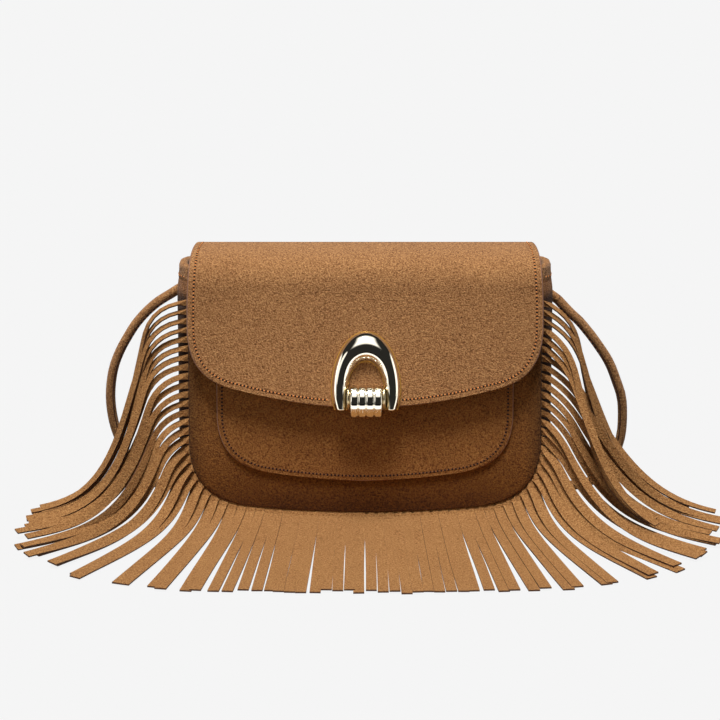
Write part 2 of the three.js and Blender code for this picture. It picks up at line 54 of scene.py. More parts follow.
# Sizes shared with the CAD model, in millimetres
BODY_WIDTH = 210
BOTTOM_DEPTH = 60
MOUTH_DEPTH = 38
SEAM_HEIGHT = 5
MOUTH_HEIGHT = 149
EAR_RISE = 3.5
CORNER_WIDTH = 37
CORNER_HEIGHT = 40
BOTTOM_BOW = 3.6
GUSSET_BULGE = 8
FRONT_CROWN = 4
BACK_CROWN = 2
SUEDE = 1.6
FIT = 0.3
POCKET_WIDTH = 176
POCKET_TOP = 98
POCKET_BOTTOM = 25
POCKET_CORNER = 36
POCKET_BOW = 4
FLAP_ROOT_WIDTH = 196
FLAP_WIDTH = 210
FLAP_CREST_RISE = 11.8
FLAP_BEND_RISE = -11
FLAP_BOTTOM = 72
FLAP_CORNER_WIDTH = 30
FLAP_CORNER_HEIGHT = 37
FLAP_BOW = 10
FLAP_DRAPE = 3
FLAP_LEAN = 13
FLAP_ROOT_DEPTH = 14
STRIP_THICKNESS = 0.9
STRIP_PITCH = 5.5
STRIP_TOP = 132
STRIP_BAND = 4
STRAP_DIAMETER = 6
COIL_Y = 78
COIL_RADIUS = 33
HALF_WIDTH = BODY_WIDTH / 2
# Control points of a round corner, as shares of its width and height
CORNER_IN = 0.3
CORNER_LOW = 0.06
CORNER_UP = 0.4

# Camera, as the photograph was taken: its place in metres, degrees below level, lens in millimetres
CAMERA_PLACE = (-0.003, -1.47602, 0.41318)
CAMERA_DOWN = 12.3
CAMERA_LENS = 124.585
CAMERA_SENSOR = 36
camera = bpy.data.objects.new("camera", bpy.data.cameras.new("camera"))
scene.collection.objects.link(camera)
camera.location = CAMERA_PLACE
camera.rotation_euler = (math.radians(90 - CAMERA_DOWN), 0, 0)
camera.data.lens = CAMERA_LENS
camera.data.sensor_width = CAMERA_SENSOR
scene.camera = camera
scene.view_settings.view_transform = "Standard"
scene.view_settings.look = "None"


def clamp(value, low=0.0, high=1.0):
    return max(low, min(high, value))


def mix(a, b, t):
    return a + (b - a) * t


def smooth(value, low, high):
    t = clamp((value - low) / (high - low))
    return t * t * (3 - 2 * t)


def linear(r, g, b):
    """Linear colour of an sRGB one given in 0 to 255."""
    return tuple(((c / 255 + 0.055) / 1.055) ** 2.4 if c > 10 else c / 255 / 12.92 for c in (r, g, b))


# Materials
def new_material(name, colour, roughness, metallic=0.0):
    material = bpy.data.materials.new(name)
    material.use_nodes = True
    shader = material.node_tree.nodes["Principled BSDF"]
    shader.inputs["Base Color"].default_value = (*colour, 1)
    shader.inputs["Roughness"].default_value = roughness
    shader.inputs["Metallic"].default_value = metallic
    return material


def add_node(material, kind, **inputs):
    node = material.node_tree.nodes.new(kind)
    for name, value in inputs.items():
        node.inputs[name.replace("_", " ")].default_value = value
    return node


def link_math(tree, operation, a, b):
    """A math node of two values, each a number or the output of another node."""
    node = tree.nodes.new("ShaderNodeMath")
    node.operation = operation
    for place, value in enumerate((a, b)):
        if isinstance(value, (int, float)):
            node.inputs[place].default_value = value
        else:
            tree.links.new(value, node.inputs[place])
    return node.outputs[0]


def step_up(tree, value, start, end):
    """0 at the start and 1 at the end, and the same beyond them."""
    node = tree.nodes.new("ShaderNodeMapRange")
    node.inputs["From Min"].default_value = start
    node.inputs["From Max"].default_value = end
    tree.links.new(value, node.inputs["Value"])
    return node.outputs["Result"]


def link_vectors(tree, operation, a, b):
    """A vector math node of a colour and what it is multiplied or scaled by."""
    node = tree.nodes.new("ShaderNodeVectorMath")
    node.operation = operation
    factor = node.inputs["Scale"] if operation == "SCALE" else node.inputs[1]
    for socket, value in ((node.inputs[0], a), (factor, b)):
        if isinstance(value, tuple):
            socket.default_value = value
        else:
            tree.links.new(value, socket)
    return node.outputs[0]


def with_painted_shade(tree, place, colour, painted_shade, sides):
    """A colour with painted shade: dimmed by height and towards the sides, as suede_material tells."""
    split = tree.nodes.new("ShaderNodeSeparateXYZ")
    tree.links.new(place.outputs["Object"], split.inputs[0])
    low, high = painted_shade[0][0], painted_shade[-1][0]
    ramp = tree.nodes.new("ShaderNodeValToRGB")
    tree.links.new(step_up(tree, split.outputs["Z"], low * MM, high * MM), ramp.inputs["Fac"])
    for height, left in painted_shade[1:-1]:
        ramp.color_ramp.elements.new((height - low) / (high - low))
    for element, (height, left) in zip(ramp.color_ramp.elements, painted_shade):
        element.color = (*left, 1)
    by_height = link_vectors(tree, "MULTIPLY", colour, ramp.outputs["Color"])
    start, end, left = sides
    across = link_math(tree, "ABSOLUTE", split.outputs["X"], 0)
    fade = link_math(tree, "MULTIPLY", step_up(tree, across, start * MM, end * MM), left - 1)
    return link_vectors(tree, "SCALE", by_height, link_math(tree, "ADD", fade, 1.0))


# Grain of the suede: scale and detail of each noise, and its share
GRAIN = ((1150.0, 1.0, 4.4), (560.0, 1.0, 0.9), (28.0, 3.0, 0.55))
# Dark grains are redder and light ones more golden, by a power of each channel
GRAIN_TINT = (("X", 0.9), ("Y", 1.1), ("Z", 1.2))
# No painted shade towards the sides
NO_SIDE_SHADE = (1000, 1001, 1)


def suede_material(name, colour, contrast=0.29, sheen=0.15, painted_shade=None, sides=NO_SIDE_SHADE):
    """Napped leather with a fine speckle. Painted shade is a list of heights in millimetres, each with the
    share of its colour that is left there. Sides gives two distances from the middle and the share left past
    them, a painted shade towards the sides."""
    material = new_material(name, colour, 1.0)
    tree = material.node_tree
    shader = tree.nodes["Principled BSDF"]
    shader.inputs["Specular IOR Level"].default_value = 0.05
    shader.inputs["Sheen Weight"].default_value = sheen
    shader.inputs["Sheen Roughness"].default_value = 0.6
    shader.inputs["Sheen Tint"].default_value = (*[mix(c, 1, 0.65) for c in colour], 1)
    place = tree.nodes.new("ShaderNodeTexCoord")
    total = 0.0
    for scale, detail, share in GRAIN:
        noise = add_node(material, "ShaderNodeTexNoise", Scale=scale, Detail=detail, Roughness=0.6)
        tree.links.new(place.outputs["Object"], noise.inputs["Vector"])
        around_zero = link_math(tree, "SUBTRACT", noise.outputs["Fac"], 0.5)
        total = link_math(tree, "ADD", link_math(tree, "MULTIPLY", around_zero, share), total)
    gain = link_math(tree, "ADD", link_math(tree, "MULTIPLY", total, contrast * 2), 1.0)
    gain = link_math(tree, "MAXIMUM", gain, 0.2)
    speckle = tree.nodes.new("ShaderNodeCombineXYZ")
    for channel, power in GRAIN_TINT:
        tree.links.new(link_math(tree, "POWER", gain, power), speckle.inputs[channel])
    tint = link_vectors(tree, "MULTIPLY", colour, speckle.outputs[0])
    if painted_shade:
        tint = with_painted_shade(tree, place, tint, painted_shade, sides)
    tree.links.new(tint, shader.inputs["Base Color"])
    relief = tree.nodes.new("ShaderNodeBump")
    relief.inputs["Strength"].default_value = 0.5
    relief.inputs["Distance"].default_value = 0.0004
    tree.links.new(total, relief.inputs["Height"])
    tree.links.new(relief.outputs["Normal"], shader.inputs["Normal"])
    return material


suede = suede_material("suede", linear(168, 119, 74), sheen=0.2)
# Painted shade: the pocket gets a darker copy of the suede, standing for the shade under the flap
pocket_suede_painted_shade = suede_material("pocket suede", linear(149, 98, 50), contrast=0.3)
# Painted shade: the panels get a darker copy of the suede, darker still towards the bottom and the side
# seams, for the shade under the flap and at the seams
panel_suede_painted_shade = suede_material("panel suede", linear(145, 95, 48), contrast=0.3, sides=(95, 106, 0.45), painted_shade=(
    (8, (0.31, 0.23, 0.1)), (22, (0.56, 0.48, 0.29)), (45, (0.8, 0.76, 0.68)), (70, (0.92, 0.92, 0.9))))
# Painted shade: the gusset goes dark below the strips' roots, where the fringe shades it
gusset_suede_painted_shade = suede_material("gusset suede", linear(160, 108, 66), painted_shade=(
    (132, (0.14, 0.11, 0.08)), (138, (1, 1, 1))))
strip_suede = suede_material("strip suede", linear(160, 114, 69), contrast=0.22, sheen=0.04)
cut_edge = new_material("cut edge", linear(150, 108, 84), 0.8)
# Painted shade: the strips' cut edges and ends are dark, for the lines of shade between the strips
strip_edge_shade = new_material("strip edge", linear(88, 56, 34), 0.9)
# Painted shade: a thin dark line along the hanging strap stands for the shade in its crease
crease_shade = new_material("crease", linear(74, 44, 24), 1.0)
shadow_edge = new_material("shadow edge", linear(62, 36, 16), 1.0)
cloth = new_material("lining cloth", linear(120, 90, 62), 0.9)
thread = new_material("thread", linear(236, 150, 76), 0.7)
pocket_thread = new_material("pocket thread", linear(140, 84, 42), 0.8)
# Painted shade: near-black colour for the blobs at the stitch holes
hole = new_material("stitch hole", linear(34, 18, 8), 1.0)
gold = new_material("pale gold", linear(242, 234, 214), 0.05, 1.0)
# The clasp's flat rim is real. Its golden-orange colour, less metallic than the clasp, is a painted glow of
# reflected light
gold_rim_painted_glow = new_material("gold rim", linear(222, 164, 78), 0.35, 0.6)
collar_metal = new_material("collar metal", linear(196, 178, 140), 0.3, 1.0)
steel = new_material("snap steel", linear(170, 170, 170), 0.35, 1.0)
board = new_material("pulp board", linear(120, 100, 76), 0.9)


# Meshes are built in millimetres
def new_object(name, points, faces, materials, marks=None, closed=True):
    mesh = bpy.data.meshes.new(name)
    mesh.from_pydata([[c * MM for c in p] for p in points], [], faces)
    for material in materials:
        mesh.materials.append(material)
    if marks:
        mesh.polygons.foreach_set("material_index", marks)
    if closed:
        work = bmesh.new()
        work.from_mesh(mesh)
        bmesh.ops.recalc_face_normals(work, faces=work.faces)
        work.to_mesh(mesh)
        work.free()
    mesh.polygons.foreach_set("use_smooth", [True] * len(mesh.polygons))
    piece = bpy.data.objects.new(name, mesh)
    scene.collection.objects.link(piece)
    return piece


def sheet(name, outside, inside, across, along, materials, rim=0.5, steps=3):
    """A closed sheet between two faces, functions of (i, j) in 0 to 1, with a rounded cut edge.
    The materials are for the outside, the cut edge and the inside."""
    points, faces, marks = [], [], []
    grids = []
    for face in (outside, inside):
        grid = [[Vector(face(i / across, j / along)) for i in range(across + 1)] for j in range(along + 1)]
        grids.append(grid)
        points += [p for row in grid for p in row]
    back = (across + 1) * (along + 1)

    def at(i, j):
        return j * (across + 1) + i

    for j in range(along):
        for i in range(across):
            faces.append((at(i, j), at(i + 1, j), at(i + 1, j + 1), at(i, j + 1)))
            faces.append((back + at(i, j + 1), back + at(i + 1, j + 1), back + at(i + 1, j), back + at(i, j)))
            marks += [0, 2]
    loop = [(i, 0) for i in range(across)] + [(across, j) for j in range(along)]
    loop += [(i, along) for i in range(across, 0, -1)] + [(0, j) for j in range(along, 0, -1)]
    rings = []
    for i, j in loop:
        inward_i = min(max(i, 1), across - 1)
        inward_j = min(max(j, 1), along - 1)
        top, low = grids[0][j][i], grids[1][j][i]
        out = (top - grids[0][inward_j][inward_i]).normalized()
        middle, half = (top + low) / 2, (top - low) / 2
        ring = [at(i, j)]
        for k in range(1, steps + 1):
            angle = math.pi * k / (steps + 1)
            points.append(middle + half * math.cos(angle) + out * half.length * 2 * rim * math.sin(angle))
            ring.append(len(points) - 1)
        ring.append(back + at(i, j))
        rings.append(ring)
    for k, ring in enumerate(rings):
        other = rings[(k + 1) % len(rings)]
        for e in range(steps + 1):
            faces.append((ring[e], ring[e + 1], other[e + 1], other[e]))
            marks.append(1)
    return new_object(name, points, faces, materials, marks)


# Paths, measured by length
class Path:
    def __init__(self, x, y):
        self.points = [Vector((x, y))]
        self.places = [0.0]

    def add(self, point):
        point = Vector(point)
        self.places.append(self.places[-1] + (point - self.points[-1]).length)
        self.points.append(point)

    def line(self, x, y):
        self.add((x, y))

    def curve(self, x1, y1, x2, y2, x3, y3, steps=60):
        a, b, c, d = self.points[-1].copy(), Vector((x1, y1)), Vector((x2, y2)), Vector((x3, y3))
        for k in range(1, steps + 1):
            t = k / steps
            self.add(a * (1 - t) ** 3 + b * 3 * t * (1 - t) ** 2 + c * 3 * t * t * (1 - t) + d * t ** 3)

    def bend(self, x1, y1, x2, y2):
        a, b, c = self.points[-1].copy(), Vector((x1, y1)), Vector((x2, y2))
        self.curve(*(a + (b - a) * 2 / 3), *(c + (b - c) * 2 / 3), *c)

    @property
    def length(self):
        return self.places[-1]

    def at(self, share):
        """The point and the direction at a share of the length."""
        place = clamp(share) * self.length
        low, high = 0, len(self.places) - 1
        while high - low > 1:
            middle = (low + high) // 2
            if self.places[middle] <= place:
                low = middle
            else:
                high = middle
        step = self.points[high] - self.points[low]
        t = (place - self.places[low]) / max(1e-9, self.places[high] - self.places[low])
        return self.points[low] + step * t, step.normalized()


# Shape of the body
def half_depth(z):
    return mix(BOTTOM_DEPTH, MOUTH_DEPTH, (z - SEAM_HEIGHT) / (MOUTH_HEIGHT - SEAM_HEIGHT)) / 2


def crown(x, z, height):
    middle = (SEAM_HEIGHT + MOUTH_HEIGHT) / 2
    across = min(1, abs(x) / HALF_WIDTH)
    up = min(1, abs(z - middle) / (MOUTH_HEIGHT - middle))
    return height * (1 - across ** 2) * (1 - up ** 2)


def side_path(half, bottom, top, width, height):
    path = Path(half - width, bottom)
    path.curve(half - CORNER_IN * width, bottom + CORNER_LOW * height, half, bottom + CORNER_UP * height,
               half, bottom + height)
    path.line(half, top)
    return path


def panel_map(side, bottom, top, bow):
    def place(i, j):
        end = side.at(j)[0]
        u = 2 * i - 1
        sag = bow * (1 - (end.y - bottom) / (top - bottom)) ** 2
        return u * end.x, end.y - sag * (1 - u * u)
    return place


def body_panel(name, facing, top, height):
    bottom = SEAM_HEIGHT + BOTTOM_BOW
    side = side_path(HALF_WIDTH, bottom, top, CORNER_WIDTH, CORNER_HEIGHT)
    place = panel_map(side, bottom, top, BOTTOM_BOW)

    def face(lift):
        def point(i, j):
            x, z = place(i, j)
            return x, facing * (half_depth(z) + lift + crown(x, z, height)), z
        return point
    return sheet(name, face(SUEDE), face(0), 48, 40, (panel_suede_painted_shade, shadow_edge, suede), rim=0.3)


def seam_path(top):
    """The seam of a panel, from the left end down, along the bottom and up to the right end."""
    low = SEAM_HEIGHT + BOTTOM_BOW
    flat = HALF_WIDTH - CORNER_WIDTH
    shoulder = low + CORNER_UP * CORNER_HEIGHT
    heel = low + CORNER_LOW * CORNER_HEIGHT
    inner = HALF_WIDTH - CORNER_IN * CORNER_WIDTH
    path = Path(-HALF_WIDTH, top)
    path.line(-HALF_WIDTH, low + CORNER_HEIGHT)
    path.curve(-HALF_WIDTH, shoulder, -inner, heel, -flat, low)
    path.bend(0, low - 2 * BOTTOM_BOW, flat, low)
    path.curve(inner, heel, HALF_WIDTH, shoulder, HALF_WIDTH, low + CORNER_HEIGHT)
    path.line(HALF_WIDTH, top)
    return path


front_panel = body_panel("front_panel_look", -1, MOUTH_HEIGHT, FRONT_CROWN)
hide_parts("front_panel")
back_panel = body_panel("back_panel_look", 1, MOUTH_HEIGHT, BACK_CROWN)
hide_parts("back_panel")


# Gusset: the ears' tops lie a little lower and narrower than in CAD, and a folded hem closes most of them
EAR_DROP = 1.8
EAR_TAPER_START = 134
EAR_TAPER = 0.2
HEM_HEIGHT = 7
HEM_OVER = 0.25
HEM_UNDER = 2.6
HEM_FOLD = 2.6
gusset_seam = seam_path(MOUTH_HEIGHT + EAR_RISE - EAR_DROP)
HEM = HEM_HEIGHT / gusset_seam.length


def gusset_swell(t):
    """How far the gusset stands out across its depth: nothing at both seams, all of it in the middle."""
    return 1 - abs(2 * t - 1) ** 2.5


def gusset_point(t, s, lift):
    """A place on the gusset: t runs from front to back, s along the seam, lift goes inward."""
    seam, along = gusset_seam.at(s)
    half = half_depth(seam.y)
    y = mix(-half + STRIP_THICKNESS + 2 * FIT, half - FIT, t)
    taper = 1 - EAR_TAPER * smooth(seam.y, EAR_TAPER_START, MOUTH_HEIGHT)
    belly = GUSSET_BULGE * gusset_swell(t) * taper
    grounded = max(0, seam.y - along.x * belly)
    return seam.x + along.y * (belly - lift), y, grounded + along.x * lift


gusset = sheet("gusset_look", lambda t, s: gusset_point(t, s, 0), lambda t, s: gusset_point(t, s, SUEDE),
               16, 140, (gusset_suede_painted_shade, gusset_suede_painted_shade, suede), rim=0.5)
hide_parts("gusset")


def hem_piece(name, start):
    """A hem over one end of the gusset. Its inside stands off in the middle and nearly closes the ear."""
    return sheet(name, lambda t, s: gusset_point(t, start + s * HEM, -HEM_OVER),
                 lambda t, s: gusset_point(t, start + s * HEM, HEM_UNDER + HEM_FOLD * gusset_swell(t)),
                 16, 4, (suede, suede, suede), rim=0.5)


hem_left = hem_piece("hem_left_look", 0)
hem_right = hem_piece("hem_right_look", 1 - HEM)


def pocket_place():
    bottom = POCKET_BOTTOM + POCKET_BOW
    side = side_path(POCKET_WIDTH / 2, bottom, POCKET_TOP, POCKET_CORNER, POCKET_CORNER)
    return side, panel_map(side, bottom, POCKET_TOP, POCKET_BOW)


def pocket_point(x, z, lift):
    return x, -(half_depth(z) + SUEDE + FIT + lift + crown(x, z, FRONT_CROWN)), z


pocket_side, pocket_map = pocket_place()
pocket = sheet("front_pocket_look", lambda i, j: pocket_point(*pocket_map(i, j), SUEDE),
               lambda i, j: pocket_point(*pocket_map(i, j), 0),
               44, 30, (pocket_suede_painted_shade, cut_edge, suede), rim=0.4)
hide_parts("front_pocket")

# Flap: its side view from the root over the crest, and its flat pattern
ROOT_Y = MOUTH_DEPTH / 2 + 2 * SUEDE + FIT
ROOT_Z = MOUTH_HEIGHT + 2
FLAP_BEND_FORWARD = 10
FLAP_CREST_LIFT = 1.5
BEND_Y = -(MOUTH_DEPTH / 2 + FLAP_BEND_FORWARD)
BEND_Z = MOUTH_HEIGHT + FLAP_BEND_RISE
CREST_Z = MOUTH_HEIGHT + FLAP_CREST_RISE + FLAP_CREST_LIFT
LEAN = FLAP_LEAN / (BEND_Z - FLAP_BOTTOM)
wrap = Path(ROOT_Y, ROOT_Z)
wrap.curve(ROOT_Y, CREST_Z - 2, ROOT_Y * 0.6, CREST_Z + 0.7, ROOT_Y * 0.15, CREST_Z)
wrap.curve(-ROOT_Y * 0.7, CREST_Z - 0.6, BEND_Y + 8 * LEAN, BEND_Z + 17, BEND_Y, BEND_Z)
wrap.line(BEND_Y - FLAP_LEAN, FLAP_BOTTOM)
FLAP_END = wrap.length - FLAP_BOW
flap_side = Path(FLAP_ROOT_WIDTH / 2, 0)
flap_side.bend(FLAP_WIDTH * 0.49, 0.2 * FLAP_END, FLAP_WIDTH / 2, 0.6 * FLAP_END)
flap_side.line(FLAP_WIDTH / 2, FLAP_END - FLAP_CORNER_HEIGHT)
flap_side.curve(FLAP_WIDTH / 2, FLAP_END - 0.4 * FLAP_CORNER_HEIGHT,
                FLAP_WIDTH / 2 - 0.35 * FLAP_CORNER_WIDTH, FLAP_END - 0.1 * FLAP_CORNER_HEIGHT,
                FLAP_WIDTH / 2 - FLAP_CORNER_WIDTH, FLAP_END)


def flap_point(x, distance, depth):
    """A place on the flap. Distance runs from where it leaves the back panel, and is negative below that."""
    if distance < 0:
        z = ROOT_Z + distance
        return x, half_depth(z) + 2 * SUEDE + FIT + crown(x, z, BACK_CROWN) - depth, z
    point, along = wrap.at(distance / wrap.length)
    under = depth + FLAP_DRAPE * abs(x / (FLAP_WIDTH / 2)) ** 4 * smooth(distance, 50, 110)
    return x, point.x - along.y * under, point.y + along.x * under


def flap_place(i, j):
    share = j * (1 + FLAP_ROOT_DEPTH / flap_side.length) - FLAP_ROOT_DEPTH / flap_side.length
    u = 2 * i - 1
    if share < 0:
        return u * FLAP_ROOT_WIDTH / 2, share * flap_side.length
    edge = flap_side.at(share)[0]
    bow = FLAP_BOW * (edge.y / FLAP_END) ** 2
    return u * edge.x, edge.y + bow * (1 - u * u)


flap = sheet("flap_look", lambda i, j: flap_point(*flap_place(i, j), 0),
             lambda i, j: flap_point(*flap_place(i, j), SUEDE), 56, 96, (suede, cut_edge, suede), rim=0.45)
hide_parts("flap", "flap_root")


# Stitching
SIDE_STEPS = 300
END_STEPS = 200


def edge_line(side, bow, start, inset):
    """The points of a seam line inside the edge of a flat pattern, from the right side round to the left."""
    points = []
    for k in range(SIDE_STEPS):
        point = side.at(start + (1 - start) * k / SIDE_STEPS)[0]
        points.append(Vector((point.x, point.y)))
    end = side.points[-1]
    for k in range(END_STEPS + 1):
        u = 1 - 2 * k / END_STEPS
        points.append(Vector((u * end.x, end.y + bow * (1 - u * u))))
    points += [Vector((-p.x, p.y)) for p in reversed(points[:SIDE_STEPS])]
    line = []
    for k in range(2, len(points) - 2):
        along = (points[k + 2] - points[k - 2]).normalized()
        line.append(points[k] - Vector((along.y, -along.x)) * inset)
    return line


def resample(points, pitch):
    """Points and directions at an even pitch along a line."""
    result = []
    travelled, target = 0.0, pitch / 2
    for a, b in zip(points, points[1:]):
        length = (b - a).length
        while length > 0 and travelled + length >= target:
            result.append((a + (b - a) * ((target - travelled) / length), (b - a).normalized()))
            target += pitch
        travelled += length
    return result


# A bead's length, its height above the surface, and the half sizes of the dark blob of painted shade at a
# hole
STITCH_LENGTH = 1.25
STITCH_HEIGHT = 0.4
HOLE_SIZE = (0.58, 0.74, 0.16)


def stitches(name, line, surface, pitch=2.2, width=0.75, skip=None, outside=(0, -1, 0), colour=None):
    """Beads of thread lying on a surface, a function of a flat point, with a dark blob between beads, painted
    shade of the stitch hole.
    """
    points, faces, marks = [], [], []

    def blob(centre, along, across, up, mark, around=6, rings=3):
        first = len(points)
        points.append(centre - along)
        for r in range(1, rings + 1):
            angle = math.pi * r / (rings + 1)
            for a in range(around):
                turn = 2 * math.pi * a / around
                points.append(centre - along * math.cos(angle)
                              + (across * math.cos(turn) + up * math.sin(turn)) * math.sin(angle))
        points.append(centre + along)
        last = len(points) - 1
        for a in range(around):
            b = (a + 1) % around
            faces.append((first, first + 1 + b, first + 1 + a))
            for r in range(rings - 1):
                low, high = first + 1 + r * around, first + 1 + (r + 1) * around
                faces.append((low + a, low + b, high + b, high + a))
            faces.append((last, last - around + a, last - around + b))
        marks.extend([mark] * (around * (rings + 1)))

    for place, direction in resample(line, pitch):
        if skip and skip(place):
            continue
        centre = Vector(surface(place))
        ahead = Vector(surface(place + direction * 0.5))
        beside = Vector(surface(place + Vector((-direction.y, direction.x)) * 0.5))
        along = (ahead - centre).normalized()
        up = along.cross(beside - centre).normalized()
        if up.dot(Vector(outside)) < 0:
            up = -up
        across = along.cross(up)
        blob(centre, along * STITCH_LENGTH / 2, across * width / 2, up * STITCH_HEIGHT, 0)
        # Painted shade: a dark blob at the stitch hole
        gap = centre + along * pitch / 2
        blob(gap, along * HOLE_SIZE[0], across * HOLE_SIZE[1], up * HOLE_SIZE[2], 1)
    return new_object(name, points, faces, (colour or thread, hole), marks)


FLAP_STITCH_INSET = 3.3
POCKET_STITCH_INSET = 2.7
# The seam stops behind the clasp
SEAM_GAP_HALF_WIDTH = 22
SEAM_GAP_HEIGHT = 12
flap_line = edge_line(flap_side, FLAP_BOW, 0.12, FLAP_STITCH_INSET)
flap_stitches = stitches("flap_stitches_look", flap_line, lambda p: flap_point(p.x, p.y, 0),
                         skip=lambda p: abs(p.x) < SEAM_GAP_HALF_WIDTH and p.y > FLAP_END - SEAM_GAP_HEIGHT)
# The pocket's side runs upward, so its points are taken from the top down
pocket_reversed = Path(pocket_side.points[-1].x, pocket_side.points[-1].y)
for p in reversed(pocket_side.points[:-1]):
    pocket_reversed.add(p)
pocket_line = edge_line(pocket_reversed, -POCKET_BOW, 0.02, -POCKET_STITCH_INSET)
pocket_stitches = stitches("pocket_stitches_look", pocket_line, lambda p: pocket_point(p.x, p.y, SUEDE),
                           width=0.7, colour=pocket_thread)


HEM_DEPTH = 34


def hem_stitches(name, seam_share, outside):
    """A row of stitches across a hem, at a share of the gusset's seam."""
    line = [Vector((k / 2, seam_share * gusset_seam.length)) for k in range(4, 62)]
    return stitches(name, line,
                    lambda p: gusset_point(p.x / HEM_DEPTH, p.y / gusset_seam.length, -HEM_OVER),
                    pitch=2.6, outside=(outside, 0, 0))


hem_stitches_left = hem_stitches("hem_stitches_left_look", HEM * 0.8, -1)
hem_stitches_right = hem_stitches("hem_stitches_right_look", 1 - HEM * 0.8, 1)

# Clasp, in a frame of its own: X across, Y up the flap, Z out of it. The arch and its hole are each given by
# width, height, width at the feet and roundness of the top
CLASP_SIDE = 0.6
CLASP_UP = 16
CLASP_DROP = 1.8
ARCH_OUTLINE = (40.2, 46, 36, 0.84)
ARCH_HOLE = (22.6, 29.2, 24, 0.76)
ARCH_EDGE = 2.2
ARCH_RISE = 3.4
ARCH_RIDGE = 0.5
ARCH_RIDGE_SHIFT = 0.14
ARCH_TOP_STEEPNESS = 1.45
RIM_WIDTH = 0.7
BARREL_UP = -11.8
BARREL_LENGTH = 18.6
BARREL_HEIGHT = 19.2
BARREL_RISE = 7.4
COLLAR_X = 10.5
COLLAR_UP = BARREL_UP + 2.6
COLLAR_SIZES = (1.6, 13.4, 6)
BLOCK_BASE = 1.1
clasp_point, clasp_along = wrap.at(1 - (CLASP_UP - CLASP_DROP) / wrap.length)
clasp_origin = Vector((CLASP_SIDE, clasp_point.x, clasp_point.y))
clasp_up = Vector((0, -clasp_along.x, -clasp_along.y))
clasp_out = Vector((0, clasp_along.y, -clasp_along.x))


def on_clasp(x, y, z):
    return clasp_origin + Vector((x, 0, 0)) + clasp_up * y + clasp_out * z


def arch_edge(width, height, foot, roundness, grow=0.0):
    shoulder = height - width * roundness
    path = Path(-foot / 2 - grow, -CLASP_UP)
    path.bend(-width / 2 - grow, -CLASP_UP + shoulder / 2, -width / 2 - grow, -CLASP_UP + shoulder)
    for k in range(1, 121):
        angle = math.pi * (1 - k / 120)
        path.add(((width / 2 + grow) * math.cos(angle),
                  -CLASP_UP + shoulder + (height - shoulder + grow) * math.sin(angle)))
    path.bend(width / 2 + grow, -CLASP_UP + shoulder / 2, foot / 2 + grow, -CLASP_UP)
    return path


def arch_piece(name, grow, base, edge, rise, material, across=30, along=120):
    outer = arch_edge(*ARCH_OUTLINE, grow)
    inner = arch_edge(*ARCH_HOLE, -grow)

    def place(i, j):
        """A place on the arch and its height. At the arch's top the ridge is nearer the hole and steeper."""
        share = (1 - math.cos(math.pi * i)) / 2
        point = outer.at(j)[0].lerp(inner.at(j)[0], share)
        topward = smooth(1 - abs(2 * j - 1), 0.55, 0.95)
        ridge = ARCH_RIDGE + ARCH_RIDGE_SHIFT * topward
        off = abs(share - ridge) / (ridge if share < ridge else 1 - ridge)
        return point, edge + rise - rise * mix(1, ARCH_TOP_STEEPNESS, topward) * off ** 2.5

    def dome(i, j):
        point, height = place(i, j)
        return on_clasp(point.x, point.y, base + height)

    def flat(i, j):
        point = place(i, j)[0]
        return on_clasp(point.x, point.y, base)
    return sheet(name, dome, flat, across, along, (material, material, material), rim=0.05, steps=1)


arch = arch_piece("clasp_arch_look", 0, FIT, ARCH_EDGE, ARCH_RISE, gold)
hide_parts("clasp_arch")
# A thin flat rim round the arch, coloured as a painted glow
arch_rim = arch_piece("clasp_rim_look", RIM_WIDTH, base=0.05, edge=0.6, rise=0.02, material=gold_rim_painted_glow)


def rounded_block(name, x, y, length, height, rise, material, ribs=0, groove=0.0, across=2):
    def swell(i):
        if not ribs:
            return 1.0
        share = (i * ribs) % 1.0 if i < 1 else 0.0
        return 1 - groove * (1 - math.sqrt(max(0, 1 - (2 * share - 1) ** 4)))

    def dome(i, j):
        angle = j * math.pi
        return on_clasp(x + (i - 0.5) * length, y - swell(i) * height / 2 * math.cos(angle),
                        BLOCK_BASE + swell(i) * rise * math.sin(angle))

    def flat(i, j):
        angle = j * math.pi
        return on_clasp(x + (i - 0.5) * length, y - swell(i) * height / 2 * math.cos(angle), FIT)
    return sheet(name, dome, flat, across, 40, (material, material, material), rim=0.0, steps=1)


barrel = rounded_block("clasp_barrel_look", 0, BARREL_UP + 0.6, BARREL_LENGTH, BARREL_HEIGHT, BARREL_RISE,
                       gold, ribs=4, groove=0.12, across=72)
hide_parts("clasp_barrel")
collar_left = rounded_block("clasp_collar_left_look", -COLLAR_X, COLLAR_UP, *COLLAR_SIZES, collar_metal)
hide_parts("clasp_collar_left")
collar_right = rounded_block("clasp_collar_right_look", COLLAR_X, COLLAR_UP, *COLLAR_SIZES, collar_metal)
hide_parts("clasp_collar_right")

# Fringe: the same family of strips as in CAD, each a little different. The tables run over the distance along
# the seam from its middle. They give degrees of heading away from straight ahead, steepest fall on each side,
# length, width, height above the floor and degrees of roll
HEADING = [(0, 0), (50, 2.5), (70, 5.5), (85, 9), (98, 15), (112, 25), (126, 37), (150, 57), (180, 73),
           (212, 82)]
HANG_LEFT = [(0, 70), (120, 71), (150, 73), (212, 78)]
HANG_RIGHT = [(0, 70), (100, 69), (125, 62), (180, 59), (195, 66), (212, 78)]
LENGTH = [(0, 150), (90, 148), (126, 138), (180, 144), (212, 164)]
WIDTH = [(0, 6), (60, 6.1), (85, 6.6), (120, 6.4), (140, 4.9), (212, 4.5)]
PILE = [(0, 0), (130, 0), (150, 1), (212, 4)]
ROLL = [(0, 0), (85, 0), (105, 14), (122, 38), (140, 60), (185, 55), (212, 24)]
